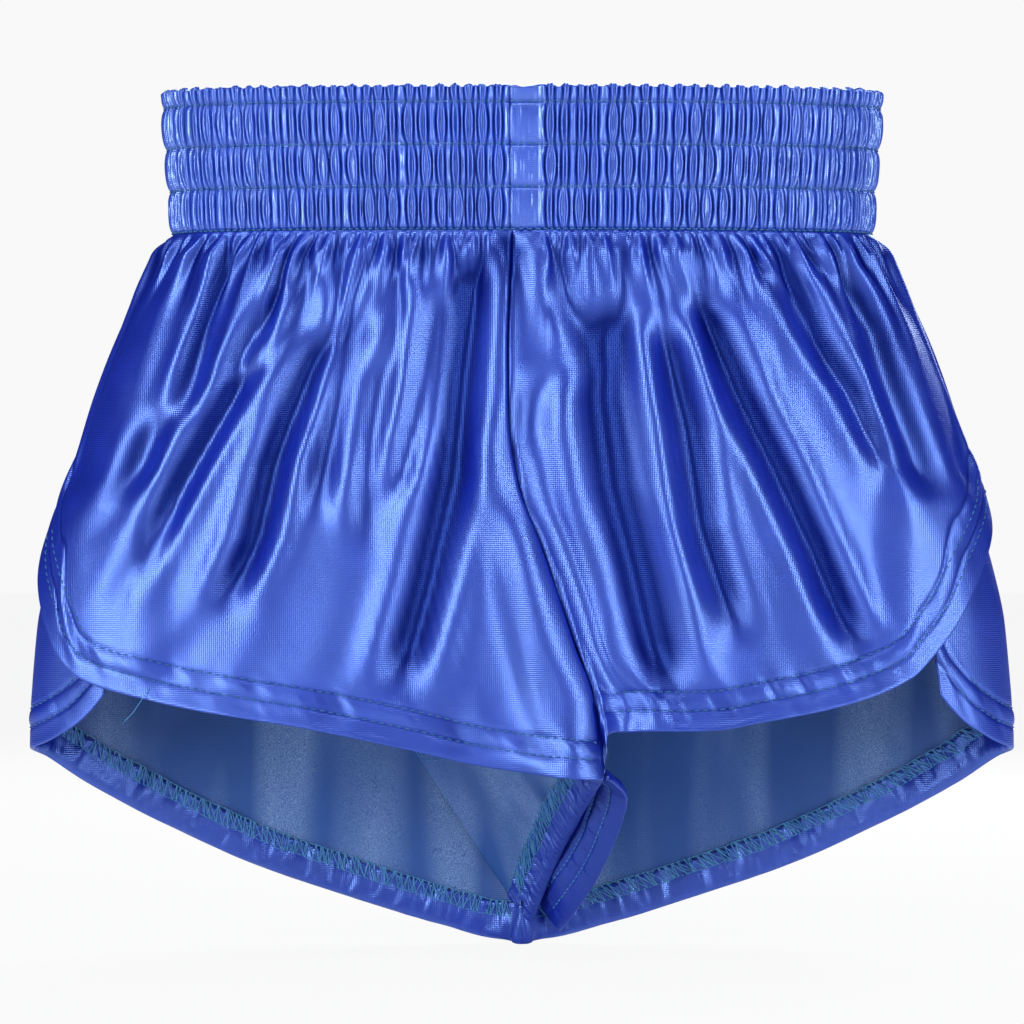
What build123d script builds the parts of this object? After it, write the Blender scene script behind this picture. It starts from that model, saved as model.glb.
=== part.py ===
"""Boxing shorts: a wide shirred elastic waistband over a full body with split, wrap-over sides.

Millimetres, +Z up. The front of the garment faces -Y and the wearer's left is +X. The origin is
on the ground, under the middle of the waist opening. The shorts stand open, as they do when worn.
Every layer of cloth is a thin shell between two closed forms, cut to its pattern outline.
"""

from build123d import *

import os
from functools import lru_cache
from math import cos, hypot, pi, radians, sin

# ---- overall size ----
HEIGHT = 305.0
BAND_HEIGHT = 51.0
BAND_LEVELS = (  # height, half width, half depth of the waistband's outer face
    (HEIGHT - BAND_HEIGHT, 124.0, 43.0),
    (HEIGHT, 127.0, 44.0),
)
BODY_LEVELS = (  # the same for the outer face of the body
    (0.0, 179.0, 52.0),
    (75.0, 179.0, 52.0),
    (115.0, 176.5, 52.0),
    (160.0, 165.0, 52.0),
    (200.0, 153.0, 50.0),
    (230.0, 140.0, 47.0),
    (HEIGHT - BAND_HEIGHT - 0.1, 124.0, 43.0),
)
SQUARENESS = 2.5  # 2 is an ellipse; higher flattens the front and fills out the sides
FACINGS = (0, 22, 42, 58, 70, 79, 85)  # in degrees, the facing of each flat from side to front

# ---- cloth, elastic and thread ----
CLOTH = 0.8
GAP = 0.2  # free space between neighbouring layers
ELASTIC = 1.6
THREAD = 0.5
THREAD_GAP = 0.1
SEAM_GAP = 0.3
SEAM_ALLOWANCE = 7.0
SEAM_THICKNESS = 1.0
HEM_DEPTH = 13.6
HEM_ROWS = (("outer", 7.0), ("inner", 13.0))  # each row's distance from the edge
OVERLOCK_WIDTH = 5.0
SHIRRING_TOP = HEIGHT - 6.5
SHIRRING_PITCH = 14.7
SHIRRING_ROWS = 4

# ---- nesting of the layers, as insets from the outer face of the body ----
FLAP_INSET = CLOTH + THREAD + THREAD_GAP + GAP  # its stitching slides under the front panel
BACK_SIDE_INSET = FLAP_INSET + 2 * (CLOTH + THREAD + THREAD_GAP) + GAP  # under the flap's hem
BACK_FACE_INSET = THREAD + THREAD_GAP  # behind, only the hem thread lies outside it

# ---- pattern outlines in the front view: (distance from the middle, height) ----
INSEAM = 3.0
CROTCH = (4.0, 71.0)
SPLIT_TOP = (164.0, 160.0)
FRONT_HEM = (
    CROTCH,
    (45, 74.5),
    (82, 81),
    (112, 88.5),
    (137, 99),
    (151, 113),
    (159.5, 130),
    (163.5, 148),
    (166, 165),
)
BACK_HEM = ((INSEAM, 0), (30, 6.5), (62, 17), (96, 29.5), (130, 45), (155, 59), (174, 74))
WRAP_EDGE = ((160, 172), (153, 146), (147, 127), (144, 107), (146, 93), (158, 81), (177, 71))
WRAP_LAP = 6.0  # above the split, how far the back panel reaches under the front panel
INSEAM_EDGE_DROP = 6.0
CROTCH_SEAM_HEIGHT = 5.0
WIDE = 400.0  # wider than the garment
DEEP = 90.0  # deeper than half of it

os.makedirs("parts", exist_ok=True)


def outline(half_width, half_depth, inset, back_inset):
    """Corners of a superellipse drawn as flats, which keep their facings at every size.

    The walls between two levels are then flat too. Towards the back the inset goes over into
    back_inset.
    """
    quarter = [radians(facing) for facing in FACINGS]
    half = quarter + [pi / 2] + [pi - angle for angle in reversed(quarter)]
    power = SQUARENESS / (SQUARENESS - 1)
    flats = []
    for angle in half + [pi + angle for angle in half[1:-1]]:
        across, along = half_width * abs(cos(angle)), half_depth * abs(sin(angle))
        depth = inset + (back_inset - inset) * max(sin(angle), 0) ** 2
        reach = (across**power + along**power) ** (1 / power) - depth
        flats.append((cos(angle), sin(angle), reach))
    corners = []
    for (c1, s1, r1), (c2, s2, r2) in zip(flats, flats[1:] + flats[:1]):
        turn = c1 * s2 - c2 * s1
        corners.append(((r1 * s2 - r2 * s1) / turn, (c1 * r2 - c2 * r1) / turn))
    return corners


@lru_cache(None)
def form(levels, inset, back_inset):
    """Closed solid through the levels, drawn in by inset, or by back_inset at its back."""
    with BuildPart() as solid:
        for height, half_width, half_depth in levels:
            with BuildSketch(Plane.XY.offset(height)):
                with BuildLine():
                    Polyline(*outline(half_width, half_depth, inset, back_inset), close=True)
                make_face()
        loft(ruled=True)
    flat_walls = [Face(wall.outer_wire()) for wall in solid.faces()]
    return Solid(Shell(flat_walls))


@lru_cache(None)
def layer(levels, outer, inner, side_inset=0.0, face_inset=0.0):
    """Shell between two depths, counted from a face that is itself inset at the sides and back."""
    with BuildPart() as shell:
        add(form(levels, side_inset + outer, face_inset + outer))
        add(form(levels, side_inset + inner, face_inset + inner), mode=Mode.SUBTRACT)
    return shell.part


def front_layer(outer, inner):
    return layer(BODY_LEVELS, outer, inner)


def back_layer(outer, inner):
    return layer(BODY_LEVELS, outer, inner, BACK_SIDE_INSET, BACK_FACE_INSET)


def band_layer(outer, inner):
    return layer(BAND_LEVELS, outer, inner)


def pushed(edge, distance):
    """The edge moved sideways to the left of its direction, which is into the cloth."""
    moved = []
    for i, (x, z) in enumerate(edge):
        before = edge[max(i - 1, 0)]
        after = edge[min(i + 1, len(edge) - 1)]
        dx, dz = after[0] - before[0], after[1] - before[1]
        length = hypot(dx, dz)
        moved.append((x - distance * dz / length, z + distance * dx / length))
    return moved


def region(edge, corners, front=True):
    """Solid over the area between a smooth edge and straight sides, in one half of the depth."""
    with BuildPart() as solid:
        with BuildSketch(Plane.XZ.offset(SEAM_GAP if front else 0)):
            with BuildLine():
                Spline(*edge)
                Polyline(edge[-1], *corners, edge[0])
            make_face()
        extrude(amount=DEEP if front else -DEEP)
    return solid.part


def hem_strip(edge, near, far, front=True):
    """Solid over the strip between two distances from a hem edge, in one half of the depth."""
    low, high = pushed(edge, near), pushed(edge, far)
    with BuildPart() as solid:
        with BuildSketch(Plane.XZ.offset(SEAM_GAP if front else 0)):
            with BuildLine():
                Spline(*low)
                Line(low[-1], high[-1])
                Spline(*high)
                Line(high[0], low[0])
            make_face()
        extrude(amount=DEEP if front else -DEEP)
    return solid.part


def back_strip(near, far):
    """The same along the whole edge of the back panel: its hem behind, its wrap edge in front."""
    with BuildPart() as solid:
        add(hem_strip(BACK_HEM, near, far, front=False))
        add(hem_strip(WRAP_EDGE, near, far))
    return solid.part


def box_between(x_low, x_high, y_low, y_high, z_low, z_high, mode=Mode.INTERSECT):
    """Box by its limits, which trims the part being built unless another mode is given."""
    with Locations(((x_low + x_high) / 2, (y_low + y_high) / 2, (z_low + z_high) / 2)):
        Box(x_high - x_low, y_high - y_low, z_high - z_low, mode=mode)


def save(part, name):
    part.label = name
    export_step(part, f"parts/{name}.step")


def save_pair(part, name):
    """Writes the piece on the wearer's left, and its mirror image on the right."""
    save(part, f"{name}_left")
    save(mirror(part, about=Plane.YZ), f"{name}_right")


# ---- pattern areas, for the left half of the garment ----
fold_run = SPLIT_TOP[0] - CROTCH[0]
fold_rise = SPLIT_TOP[1] - CROTCH[1]
fold_end = (WIDE / 2, CROTCH[1] + fold_rise / fold_run * (WIDE / 2 - CROTCH[0]))
with BuildPart() as front_area:
    with BuildSketch(Plane.XZ.offset(SEAM_GAP)):
        with BuildLine():
            Polyline(
                CROTCH,
                fold_end,
                (WIDE / 2, HEIGHT),
                (SEAM_GAP, HEIGHT),
                (SEAM_GAP, CROTCH[1]),
                CROTCH,
            )
        make_face()
    extrude(amount=DEEP)

flap_area = region(FRONT_HEM, (SPLIT_TOP,))

back_corners = (
    (WIDE / 2, BACK_HEM[-1][1]),
    (WIDE / 2, HEIGHT),
    (SEAM_GAP, HEIGHT),
    (SEAM_GAP, CROTCH[1]),
    (INSEAM, CROTCH[1] - INSEAM_EDGE_DROP),
)
wrap_corners = ((WIDE / 2, WRAP_EDGE[-1][1]), (WIDE / 2, WRAP_EDGE[0][1]))
with BuildPart() as back_area:
    add(region(BACK_HEM, back_corners, front=False))
    add(region(WRAP_EDGE, wrap_corners))
    box_between(WIDE / 5, WIDE / 2, -WRAP_LAP, 0, WRAP_EDGE[0][1], HEIGHT, mode=Mode.ADD)

# ---- front panels, and the free lower corner of each, whose hem is turned up inside ----
with BuildPart() as front_panel:
    add(front_layer(0, CLOTH))
    add(front_area.part, mode=Mode.INTERSECT)
save_pair(front_panel.part, "front_panel")

with BuildPart() as front_turned_hem:
    add(front_layer(FLAP_INSET, FLAP_INSET + 2 * CLOTH))
    add(hem_strip(FRONT_HEM, 0, HEM_DEPTH), mode=Mode.INTERSECT)

with BuildPart() as front_flap:
    add(front_layer(FLAP_INSET, FLAP_INSET + CLOTH))
    add(front_turned_hem.part)
    add(flap_area, mode=Mode.INTERSECT)
save_pair(front_flap.part, "front_flap")

# ---- back panels, each with its inner-thigh extension that reaches forward to the crotch ----
thigh_back = BODY_LEVELS[0][2] - BACK_FACE_INSET - CLOTH / 2
thigh_front = -(BODY_LEVELS[0][2] - FLAP_INSET - 2 * CLOTH - 1)
with BuildPart() as inner_thigh:
    with BuildSketch(Plane.YZ.offset(INSEAM)):
        with BuildLine():
            Polyline(
                (thigh_front, CROTCH[1]),
                (thigh_back, CROTCH[1]),
                (thigh_back, HEM_DEPTH / 2),
                (thigh_front, CROTCH[1] - CROTCH_SEAM_HEIGHT),
                (thigh_front, CROTCH[1]),
            )
        make_face()
    extrude(amount=CLOTH)

with BuildPart() as back_turned_hem:
    add(back_layer(0, 2 * CLOTH))
    add(back_strip(0, HEM_DEPTH), mode=Mode.INTERSECT)

with BuildPart() as back_panel:
    add(back_layer(0, CLOTH))
    add(back_turned_hem.part)
    add(back_area.part, mode=Mode.INTERSECT)
    add(inner_thigh.part)
save_pair(back_panel.part, "back_panel")

# ---- waistband: casing folded over the elastic, and four rows of shirring through both ----
cavity_depth = CLOTH + ELASTIC + 2 * GAP
with BuildPart() as elastic_room:
    add(band_layer(CLOTH, cavity_depth))
    box_between(-WIDE / 2, WIDE / 2, -DEEP, DEEP, 0, HEIGHT - CLOTH)

with BuildPart() as casing:
    add(band_layer(0, cavity_depth + CLOTH))
    add(elastic_room.part, mode=Mode.SUBTRACT)

with BuildPart() as elastic:
    add(band_layer(CLOTH + GAP, CLOTH + GAP + ELASTIC))
    box_between(-WIDE / 2, WIDE / 2, -DEEP, DEEP, HEIGHT - BAND_HEIGHT + GAP, HEIGHT - CLOTH - GAP)

band_rings = {"waistband_casing": casing, "elastic": elastic}
for row in range(SHIRRING_ROWS):
    height = SHIRRING_TOP - row * SHIRRING_PITCH
    with BuildPart() as shirring_thread:
        add(band_layer(-THREAD - THREAD_GAP, -THREAD_GAP))
        box_between(-WIDE / 2, WIDE / 2, -DEEP, DEEP, height - THREAD / 2, height + THREAD / 2)
    band_rings[f"shirring_thread_{row + 1}"] = shirring_thread

for name, ring in band_rings.items():
    for side, y_low, y_high in (("front", -DEEP, -SEAM_GAP / 2), ("back", SEAM_GAP / 2, DEEP)):
        with BuildPart() as half_ring:
            add(ring.part)
            box_between(-WIDE / 2, WIDE / 2, y_low, y_high, 0, HEIGHT)
        save(half_ring.part, f"{name}_{side}")

# ---- overlocked seam allowances, lying inside the cloth ----
rise_foot = CROTCH[1] + 12
seam_head = HEIGHT - BAND_HEIGHT - 2
rise_depths = (CLOTH + THREAD_GAP, CLOTH + THREAD_GAP + SEAM_THICKNESS)

with BuildPart() as front_rise_seam:
    add(front_layer(*rise_depths))
    box_between(-SEAM_ALLOWANCE, -SEAM_GAP, -DEEP, 0, rise_foot, seam_head)
save(front_rise_seam.part, "front_rise_seam")

with BuildPart() as back_rise_seam:
    add(back_layer(*rise_depths))
    box_between(-SEAM_ALLOWANCE, -SEAM_GAP, 0, DEEP, rise_foot, seam_head)
save(back_rise_seam.part, "back_rise_seam")

with BuildPart() as side_seam:
    add(front_layer(FLAP_INSET, BACK_SIDE_INSET - GAP))
    box_between(0, WIDE / 2, -WRAP_LAP, -SEAM_GAP - GAP, WRAP_EDGE[0][1] + GAP, seam_head)
save_pair(side_seam.part, "side_seam")

with BuildPart() as crotch_seam:
    seam_side = INSEAM - GAP
    seam_back = thigh_back - 4
    box_between(
        -seam_side,
        seam_side,
        thigh_front,
        seam_back,
        CROTCH[1] - CROTCH_SEAM_HEIGHT,
        CROTCH[1],
        mode=Mode.ADD,
    )
save(crotch_seam.part, "crotch_seam")

# ---- hem stitching on the outside, and the overlocked edge of the turned hem inside ----
for row, distance in HEM_ROWS:
    with BuildPart() as front_hem_thread:
        add(front_layer(FLAP_INSET - THREAD - THREAD_GAP, FLAP_INSET - THREAD_GAP))
        add(hem_strip(FRONT_HEM, distance, distance + THREAD), mode=Mode.INTERSECT)
        add(flap_area, mode=Mode.INTERSECT)
    save_pair(front_hem_thread.part, f"front_hem_thread_{row}")

    with BuildPart() as back_hem_thread:
        add(back_layer(-THREAD - THREAD_GAP, -THREAD_GAP))
        add(back_strip(distance, distance + THREAD), mode=Mode.INTERSECT)
        add(back_area.part, mode=Mode.INTERSECT)
    save_pair(back_hem_thread.part, f"back_hem_thread_{row}")

overlock_depths = (2 * CLOTH + THREAD_GAP, 2 * CLOTH + THREAD_GAP + THREAD)
with BuildPart() as front_hem_overlock:
    add(front_layer(FLAP_INSET + overlock_depths[0], FLAP_INSET + overlock_depths[1]))
    add(hem_strip(FRONT_HEM, HEM_DEPTH - OVERLOCK_WIDTH, HEM_DEPTH), mode=Mode.INTERSECT)
    add(flap_area, mode=Mode.INTERSECT)
save_pair(front_hem_overlock.part, "front_hem_overlock")

with BuildPart() as back_hem_overlock:
    add(back_layer(*overlock_depths))
    add(back_strip(HEM_DEPTH - OVERLOCK_WIDTH, HEM_DEPTH), mode=Mode.INTERSECT)
    box_between(INSEAM + CLOTH + 1, WIDE / 2, -DEEP, DEEP, 0, HEIGHT)
save_pair(back_hem_overlock.part, "back_hem_overlock")
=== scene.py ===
"""Boxing shorts in metallic satin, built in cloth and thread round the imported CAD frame.

Lengths are in millimetres until a mesh is made. The loop round the garment is measured by w:
0 at mid-front, +1 and -1 at the side seams, +2 and -2 at mid-back.
"""

import math

import bpy
import numpy as np
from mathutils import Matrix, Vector


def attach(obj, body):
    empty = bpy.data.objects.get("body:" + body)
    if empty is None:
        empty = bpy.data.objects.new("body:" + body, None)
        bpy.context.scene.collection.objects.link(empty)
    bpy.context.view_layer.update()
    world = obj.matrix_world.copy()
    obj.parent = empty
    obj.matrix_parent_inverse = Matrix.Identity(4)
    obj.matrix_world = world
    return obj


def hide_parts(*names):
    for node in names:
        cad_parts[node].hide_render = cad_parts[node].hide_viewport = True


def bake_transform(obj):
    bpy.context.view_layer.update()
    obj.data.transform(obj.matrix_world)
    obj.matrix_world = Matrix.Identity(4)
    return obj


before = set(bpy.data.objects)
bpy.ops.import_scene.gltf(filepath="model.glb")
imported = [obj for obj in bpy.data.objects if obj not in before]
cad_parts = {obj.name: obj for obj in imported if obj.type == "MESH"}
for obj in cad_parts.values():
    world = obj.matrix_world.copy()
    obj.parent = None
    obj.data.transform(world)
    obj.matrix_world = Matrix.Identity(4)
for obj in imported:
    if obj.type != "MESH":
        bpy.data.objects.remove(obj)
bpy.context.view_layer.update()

MM = 0.001  # metres in a millimetre
TOP = 305.0  # height of the band's rim
BAND_FOOT = 254.0  # height at which the body is sewn to the band
BODY_LEVELS = np.array([  # height, half width, half depth
    (-20, 179, 52),
    (0, 179, 52),
    (75, 179, 52),
    (115, 176.5, 52),
    (160, 165, 52),
    (200, 153, 50),
    (230, 140, 47),
    (254, 124, 43),
])
BAND_LEVELS = np.array([(250, 124, 43), (254, 124, 43), (305, 127, 44), (310, 127, 44)])
SQUARENESS = 2.5  # exponent of the superellipse sections
QUARTER_STEPS = 300  # points along a quarter of each section
CLOTH = 0.4  # thickness of the satin
CLOTH_FRAMES = 22  # length of a cloth run
CLOTH_FORCES = (  # stiffness and damping
    ("tension", 12, 8),
    ("compression", 12, 8),
    ("shear", 4, 8),
    ("bending", 0.08, 0.5),
)
NOISE_CELLS = 64
RNG = np.random.default_rng(643)


# ---- numbers

def pchip(x, xs, ys):
    """Smooth interpolation that never overshoots its points."""
    xs = np.asarray(xs, float)
    ys = np.asarray(ys, float)
    h = np.diff(xs)
    d = np.diff(ys) / h
    m = np.zeros(len(xs))
    same = d[:-1] * d[1:] > 0
    w1, w2 = 2 * h[1:] + h[:-1], h[1:] + 2 * h[:-1]
    with np.errstate(divide="ignore", invalid="ignore"):
        inner = (w1 + w2) / (w1 / d[:-1] + w2 / d[1:])
    m[1:-1] = np.where(same, inner, 0)
    m[0], m[-1] = d[0], d[-1]
    x = np.clip(x, xs[0], xs[-1])
    i = np.clip(np.searchsorted(xs, x, side="right") - 1, 0, len(h) - 1)
    t = (x - xs[i]) / h[i]
    a, b = 2 * t**3 - 3 * t**2 + 1, t**3 - 2 * t**2 + t
    return a * ys[i] + b * h[i] * m[i] + (1 - a) * ys[i + 1] + (t**3 - t**2) * h[i] * m[i + 1]


def smoothstep(low, high, x):
    t = np.clip((x - low) / (high - low), 0, 1)
    return t * t * (3 - 2 * t)


def hill(x, centre, width):
    """A smooth hill of height 1 round its centre."""
    return np.exp(-(((x - centre) / width) ** 2))


def unit(vectors):
    return vectors / np.maximum(np.linalg.norm(vectors, axis=-1, keepdims=True), 1e-9)


def run_along(path):
    """Length of a path from its start to each of its places."""
    return np.concatenate([[0], np.cumsum(np.linalg.norm(np.diff(path, axis=0), axis=1))])


def noise(x, y, seed):
    """Smooth random field of about unit range over the plane, one cell per unit."""
    table = np.random.default_rng(seed).uniform(-1, 1, (NOISE_CELLS, NOISE_CELLS))
    i, j = np.floor(x).astype(int), np.floor(y).astype(int)
    fx, fy = x - i, y - j
    fx, fy = fx * fx * (3 - 2 * fx), fy * fy * (3 - 2 * fy)
    i2, j2 = (i + 1) % NOISE_CELLS, (j + 1) % NOISE_CELLS
    i, j = i % NOISE_CELLS, j % NOISE_CELLS
    low = table[i, j] * (1 - fx) + table[i2, j] * fx
    high = table[i, j2] * (1 - fx) + table[i2, j2] * fx
    return low * (1 - fy) + high * fy


def bilinear(table, i, j):
    """Values of a table at fractional rows and columns."""
    i = np.clip(i, 0, table.shape[0] - 1.001)
    j = np.clip(j, 0, table.shape[1] - 1.001)
    i0, j0 = i.astype(int), j.astype(int)
    fi, fj = i - i0, j - j0
    if table.ndim == 3:
        fi, fj = fi[..., None], fj[..., None]
    low = table[i0, j0] * (1 - fj) + table[i0, j0 + 1] * fj
    high = table[i0 + 1, j0] * (1 - fj) + table[i0 + 1, j0 + 1] * fj
    return low * (1 - fi) + high * fi


def resampling(n, m):
    """Matrix that takes n evenly spaced values to m by a Catmull-Rom curve."""
    x = np.linspace(0, n - 1, m)
    i = np.clip(x.astype(int), 0, n - 2)
    t = x - i
    weights = np.zeros((m, n))
    rows = np.arange(m)
    shares = (
        (-1, -0.5 * t + t**2 - 0.5 * t**3),
        (0, 1 - 2.5 * t**2 + 1.5 * t**3),
        (1, 0.5 * t + 2 * t**2 - 1.5 * t**3),
        (2, -0.5 * t**2 + 0.5 * t**3),
    )
    for step, share in shares:
        np.add.at(weights, (rows, np.clip(i + step, 0, n - 1)), share)
    return weights


def upsampled(points, rows, columns):
    out = np.einsum("ij,jkc->ikc", resampling(points.shape[0], rows), points)
    return np.einsum("ij,kjc->kic", resampling(points.shape[1], columns), out)


def normals_of(points):
    """Unit normals of a grid whose rows run down and whose columns run towards +u."""
    return unit(np.cross(np.gradient(points, axis=0), np.gradient(points, axis=1)))


# ---- forms

class Form:
    """Closed superellipse section at every height, set in a little, addressed by w and z."""

    def __init__(self, levels, side=0.0, front=0.0, back=0.0):
        self.low = levels[0][0]
        heights = np.arange(levels[0][0], levels[-1][0] + 0.5, 1.0)
        a = pchip(heights, levels[:, 0], levels[:, 1])[:, None] - side
        b = pchip(heights, levels[:, 0], levels[:, 2])[:, None]
        angle = np.linspace(0, math.pi / 2, 500)[None]
        steps = np.linspace(0, 1, QUARTER_STEPS + 1)
        self.tables, self.lengths = [], []  # x and y of the front, then of the back
        for depth in (b - front, b - back):
            x = a * np.sin(angle) ** (2 / SQUARENESS)
            y = depth * np.cos(angle) ** (2 / SQUARENESS)
            run = np.hypot(np.diff(x, axis=1), np.diff(y, axis=1))
            run = np.concatenate([np.zeros((len(heights), 1)), np.cumsum(run, axis=1)], axis=1)
            for line in (x, y):
                even = [np.interp(steps * r[-1], r, values) for r, values in zip(run, line)]
                self.tables.append(np.array(even))
            self.lengths.append(run[:, -1])

    def length(self, z):
        """Length of a quarter of the loop at a height."""
        return np.interp(z - self.low, np.arange(len(self.lengths[0])), self.lengths[0])

    def point(self, w, z):
        w, z = np.broadcast_arrays(np.asarray(w, float), np.asarray(z, float))
        share = np.where(np.abs(w) > 1, 2 - np.abs(w), np.abs(w))
        places = z - self.low, share * QUARTER_STEPS
        front_x, front_y, back_x, back_y = [bilinear(table, *places) for table in self.tables]
        behind = np.abs(w) > 1
        x = np.where(behind, back_x, front_x) * np.sign(w)
        return np.stack([x, np.where(behind, back_y, -front_y), z], axis=-1)

    def share_at(self, x, z):
        """Share of the quarter loop, from the middle, at a distance x from the middle."""
        row = self.tables[0][int(round(z - self.low))]
        return float(np.interp(x, row, np.linspace(0, 1, QUARTER_STEPS + 1)))


# ---- meshes

def mesh_object(name, points, faces, materials):
    """A mesh object from points in millimetres and faces of equal corner count."""
    mesh = bpy.data.meshes.new(name)
    points = np.asarray(points, float).reshape(-1, 3) * MM
    faces = np.asarray(faces, np.int32)
    count, corners = faces.shape
    mesh.vertices.add(len(points))
    mesh.vertices.foreach_set("co", points.ravel())
    mesh.loops.add(count * corners)
    mesh.loops.foreach_set("vertex_index", faces.ravel())
    mesh.polygons.add(count)
    mesh.polygons.foreach_set("loop_start", np.arange(count, dtype=np.int32) * corners)
    mesh.update(calc_edges=True)
    mesh.validate()
    mesh.shade_smooth()
    for material in materials:
        mesh.materials.append(material)
    obj = bpy.data.objects.new(name, mesh)
    bpy.context.scene.collection.objects.link(obj)
    return obj


def grid_faces(rows, columns, wrap_rows=False, wrap_columns=False):
    """Quads over a grid, wound so that their normals agree with normals_of."""
    i = np.arange(rows if wrap_rows else rows - 1)[:, None]
    j = np.arange(columns if wrap_columns else columns - 1)[None]
    i2, j2 = (i + 1) % rows, (j + 1) % columns
    a, b, c, d = i * columns + j, i2 * columns + j, i2 * columns + j2, i * columns + j2
    a, b, c, d = np.broadcast_arrays(a, b, c, d)
    return np.stack([a, b, c, d], axis=-1).reshape(-1, 4)


def shell(obj):
    """Gives a sheet its thickness, inwards, with its second material on the inside."""
    solid = obj.modifiers.new("cloth", "SOLIDIFY")
    solid.thickness = CLOTH * MM
    solid.offset = -1
    solid.material_offset = 1
    solid.material_offset_rim = 0
    with bpy.context.temp_override(object=obj, active_object=obj, selected_objects=[obj]):
        bpy.ops.object.modifier_apply(modifier=solid.name)


# ---- cloth sheets

def relaxed(start, rest, pinned):
    """Runs a cloth sheet from its gathered start, with its flat pattern as rest shape."""
    rows, columns = start.shape[:2]
    sheet = mesh_object("cloth_run", start, grid_faces(rows, columns), [])
    sheet.shape_key_add(name="Basis")
    flat = sheet.shape_key_add(name="Flat")
    flat.data.foreach_set("co", (np.asarray(rest).reshape(-1, 3) * MM).ravel())
    flat.value = 0
    group = sheet.vertex_groups.new(name="sewn")
    for weight in np.unique(pinned[pinned > 0]):
        index = np.flatnonzero(pinned.ravel() == weight)
        group.add([int(k) for k in index], float(weight), "REPLACE")
    cloth = sheet.modifiers.new("cloth", "CLOTH")
    settings = cloth.settings
    for kind, stiffness, damping in CLOTH_FORCES:
        setattr(settings, kind + "_stiffness", stiffness)
        setattr(settings, kind + "_damping", damping)
    settings.quality = 6
    settings.mass = 0.15
    settings.air_damping = 4
    settings.vertex_group_mass = "sewn"
    settings.pin_stiffness = 2
    settings.rest_shape_key = flat
    settings.effector_weights.gravity = 0.3
    cloth.collision_settings.use_collision = False
    cloth.point_cache.frame_start = 1
    cloth.point_cache.frame_end = CLOTH_FRAMES
    scene = bpy.context.scene
    for frame_number in range(1, CLOTH_FRAMES + 1):
        scene.frame_set(frame_number)
    result = sheet.evaluated_get(bpy.context.evaluated_depsgraph_get())
    out = np.empty(rows * columns * 3)
    result.data.vertices.foreach_get("co", out)
    bpy.data.objects.remove(sheet)
    scene.frame_set(1)
    return out.reshape(rows, columns, 3) / MM


class Cloth:
    """A grid of cloth: u runs across from -1 to 1, t down from 0 to 1 at the hem."""

    thin_share = 0.0  # half width, in u, over which the fold is thinned at the middle

    def finish(self, points):
        self.points = points
        self.rows, self.columns = points.shape[:2]
        self.normals = normals_of(points)

    def at(self, u, t):
        """Points and outward normals of the finished cloth."""
        j = (np.asarray(u) + 1) / 2 * (self.columns - 1)
        i = np.asarray(t) * (self.rows - 1)
        return bilinear(self.points, i, j), bilinear(self.normals, i, j)

    def under(self, u, t, depth):
        """Points at a depth behind the outer face."""
        points, normals = self.at(u, t)
        return points - normals * np.reshape(depth, (-1, 1)), normals

    def fold_depth(self, u, distance):
        """Depth of the inner face of the turned-up hem, rolled near its edge and puckered."""
        reach = np.maximum(distance, 0) / 2.6
        roll = 1.35 * reach * np.exp(1 - reach)
        puckers = 0.75 * noise(u * 62 + distance / 14 + 9, distance / 12, 41)
        puckers += 0.35 * noise(u * 150 + 9, distance / 7, 42)
        depth = 1.4 + roll + puckers * smoothstep(0.2, 2.0, distance)
        full = smoothstep(self.thin_share / 3, self.thin_share + 1e-6, np.abs(u))
        return 0.5 + (depth - 0.5) * full


class Sheet(Cloth):
    """A panel of cloth on a form, with its hem edge as a height for every u."""

    def __init__(self, form, hem_u, hem_z, rows, columns):
        self.form = form
        self.hem_u, self.hem_z = np.asarray(hem_u, float), np.asarray(hem_z, float)
        self.rows, self.columns = rows, columns

    def hem_height(self, u):
        return pchip(u, self.hem_u, self.hem_z)

    def grid(self, rows, columns):
        """u, t and height of an even grid over the sheet."""
        u = np.broadcast_to(np.linspace(-1, 1, columns)[None], (rows, columns))
        t = np.broadcast_to(np.linspace(0, 1, rows)[:, None], (rows, columns))
        return u, t, BAND_FOOT - t * (BAND_FOOT - self.hem_height(u))

    def address(self, s, z):
        """u and t of a place given by its length along the loop and its height."""
        u = np.clip(s / self.form.length(z) / self.span(z), -1, 1)
        t = (BAND_FOOT - z) / (BAND_FOOT - self.hem_height(u))
        return u, t

    def loop_share(self, u, z):
        """Place along the loop, in quarters, counted from the middle of the sheet."""
        return u * self.span(z)

    def edge_share(self, u):
        """How far measuring inwards from the hem follows the slope of its edge."""
        return 1.0

    def from_hem(self, u, distance):
        """u and t of the places at a distance from the hem edge, square to it, inwards."""
        z = self.hem_height(u)
        s = self.loop_share(u, z) * self.form.length(z)
        ds, dz = np.gradient(s), np.gradient(z)
        dz = dz * self.edge_share(u)
        run = np.hypot(ds, dz)
        return self.address(s - distance * dz / run, z + distance * ds / run)


# ---- shirring, shared by band and body

ROWS_OF_SHIRRING = (298.5, 283.8, 269.1, 254.4)
PLAIN_PATCHES = ((-0.03, 0.045), (1.96, 2.02), (0.985, 1.0), (-1.0, -0.985))


def pleat_centres():
    """Places w of the pinched pairs of pleats, left flat at the seams."""
    centres, w = [], -2.0
    while w < 2.0:
        w += RNG.uniform(0.030, 0.043)
        if not any(low < w < high for low, high in PLAIN_PATCHES) and w < 1.985:
            centres.append(w)
    return np.array(centres)


PLEATS = pleat_centres()
PLEAT_COUNT = len(PLEATS)
BAND = Form(BAND_LEVELS)
LOOP_MM = BAND.length(280.0)  # a quarter of the band's loop


def nearest_pleat(w):
    k = np.clip(np.searchsorted(PLEATS, w), 1, PLEAT_COUNT - 1)
    return np.where(np.abs(PLEATS[k] - w) < np.abs(PLEATS[k - 1] - w), k, k - 1)


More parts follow.
